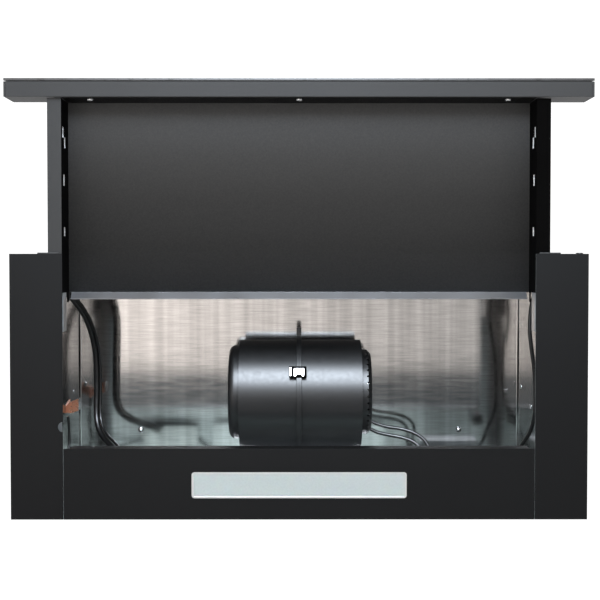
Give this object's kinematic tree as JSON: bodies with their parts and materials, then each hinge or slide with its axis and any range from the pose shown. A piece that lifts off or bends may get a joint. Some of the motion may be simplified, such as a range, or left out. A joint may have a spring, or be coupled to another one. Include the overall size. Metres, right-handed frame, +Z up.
{
  "type": "under cabinet range hood",
  "caption": "Telescopic range hood that hangs under a wall cabinet: pull-out visor on ball slides, galvanised housing, scroll blower with side inlet, lamp in the rear strip, damped duct collar.",
  "frame": {"origin": "plane of the frame's top flange, which screws to the cabinet's underside, at the middle of the 590 x 272 mm frame", "axes": "+X right, +Y to the wall, +Z up; the visor pulls out along -Y"},
  "size_m": [0.598, 0.4495, 0.219],
  "materials": {
    "galvanised": "hot-dip galvanised sheet, soft mirror with fine rolling lines",
    "black_paint": "satin near-black powder coat",
    "visor_paint": "matt dark grey-black powder coat",
    "front_glass": "black lacquered front plate",
    "trim_plastic": "matt black moulding",
    "blower_plastic": "satin black moulding",
    "wheel_plastic": "black moulding",
    "key_plastic": "dark grey keys",
    "red_plastic": "switch plunger",
    "clip_metal": "bright spring steel",
    "lens": "frosted lamp lens",
    "white_plastic": "white moulding",
    "zinc_steel": "bright zinc plate",
    "bright_steel": "bright nickel or zinc plate",
    "laminations": "steel laminations",
    "copper": "bare copper strip",
    "foam": "black foam",
    "lead_sheath": "black cable sheath"
  },
  "bodies": {
    "housing": {"housing_shell": "galvanised", "housing_rear": "galvanised", "housing_side_left": "galvanised", "housing_side_right": "galvanised", "side_cover_left": "black_paint", "side_cover_right": "black_paint", "rear_cover": "black_paint", "front_rail": "black_paint", "glide_pads": "trim_plastic", "led_lens": "lens", "led_tray": "white_plastic", "led_board": "white_plastic", "led_driver": "trim_plastic", "scroll_left": "blower_plastic", "scroll_right": "blower_plastic", "scroll_clips": "clip_metal", "inlet_ring": "blower_plastic", "motor_cap": "blower_plastic", "motor_can": "zinc_steel", "motor_stator": "laminations", "motor_bearings": "bright_steel", "capacitor": "white_plastic", "outlet_gasket": "foam", "duct_collar": "trim_plastic", "flap_pin": "zinc_steel", "slide_fixed_left": "zinc_steel", "slide_fixed_right": "zinc_steel", "speed_switch": "trim_plastic", "light_switch": "trim_plastic", "microswitch": "trim_plastic", "terminal_box": "trim_plastic", "terminal_cover": "trim_plastic", "mains_gland": "trim_plastic", "earth_contact": "copper", "leads": "lead_sheath", "housing_rivets": "bright_steel", "housing_screws": "bright_steel", "collar_screws": "bright_steel"},
    "visor": {"fascia_back": "visor_paint", "fascia_plate": "front_glass", "fascia_tape": "foam", "fascia_caps": "trim_plastic", "visor_panel": "visor_paint", "visor_side_left": "visor_paint", "visor_side_right": "visor_paint", "fascia_screws": "bright_steel", "slide_moving_left": "zinc_steel", "slide_moving_right": "zinc_steel"},
    "cage_left": {"slide_cage_left": "zinc_steel"},
    "cage_right": {"slide_cage_right": "zinc_steel"},
    "fan": {"motor_rotor": "laminations", "motor_shaft": "bright_steel", "impeller_hub": "wheel_plastic", "impeller_left": "wheel_plastic", "impeller_right": "wheel_plastic"},
    "speed_key": {"speed_rocker": "key_plastic"},
    "light_key": {"light_button": "key_plastic"},
    "microswitch_key": {"microswitch_button": "red_plastic"},
    "damper_front": {"flap_front": "wheel_plastic"},
    "damper_rear": {"flap_rear": "wheel_plastic"}
  },
  "joints": [
    {"name": "visor_slide", "type": "slide", "parent": "housing", "child": "visor", "axis": [0, 1, 0], "range_m": [0, 0.157]},
    {"name": "cage_left_slide", "type": "slide", "parent": "housing", "child": "cage_left", "axis": [0, 1, 0], "range_m": [0, 0.0785]},
    {"name": "cage_right_slide", "type": "slide", "parent": "housing", "child": "cage_right", "axis": [0, 1, 0], "range_m": [0, 0.0785]},
    {"name": "fan_spin", "type": "hinge", "parent": "housing", "child": "fan", "pos_m": [0, 0.017, 0.068], "axis": [1, 0, 0], "continuous": true},
    {"name": "speed_rocker_tilt", "type": "hinge", "parent": "housing", "child": "speed_key", "pos_m": [-0.273, -0.13, -0.02], "axis": [1, 0, 0], "range_deg": [-12, 12]},
    {"name": "light_button_press", "type": "slide", "parent": "housing", "child": "light_key", "axis": [0, 1, 0], "range_m": [0, 0.001], "stiffness_N_per_m": 400, "springref_m": -0.0008},
    {"name": "microswitch_press", "type": "slide", "parent": "housing", "child": "microswitch_key", "axis": [0, 1, 0], "range_m": [0, 0.0015], "stiffness_N_per_m": 300, "springref_m": -0.0005},
    {"name": "damper_front_swing", "type": "hinge", "parent": "housing", "child": "damper_front", "pos_m": [0, 0.028, 0.16], "axis": [1, 0, 0], "range_deg": [-75, 0]},
    {"name": "damper_rear_swing", "type": "hinge", "parent": "housing", "child": "damper_rear", "pos_m": [0, 0.028, 0.16], "axis": [1, 0, 0], "range_deg": [0, 75]}
  ],
  "couplings": [
    {"joint": "cage_left_slide", "follows": "visor_slide", "ratio": 0.5},
    {"joint": "cage_right_slide", "follows": "visor_slide", "ratio": 0.5},
    {"joint": "damper_rear_swing", "follows": "damper_front_swing", "ratio": -1}
  ]
}
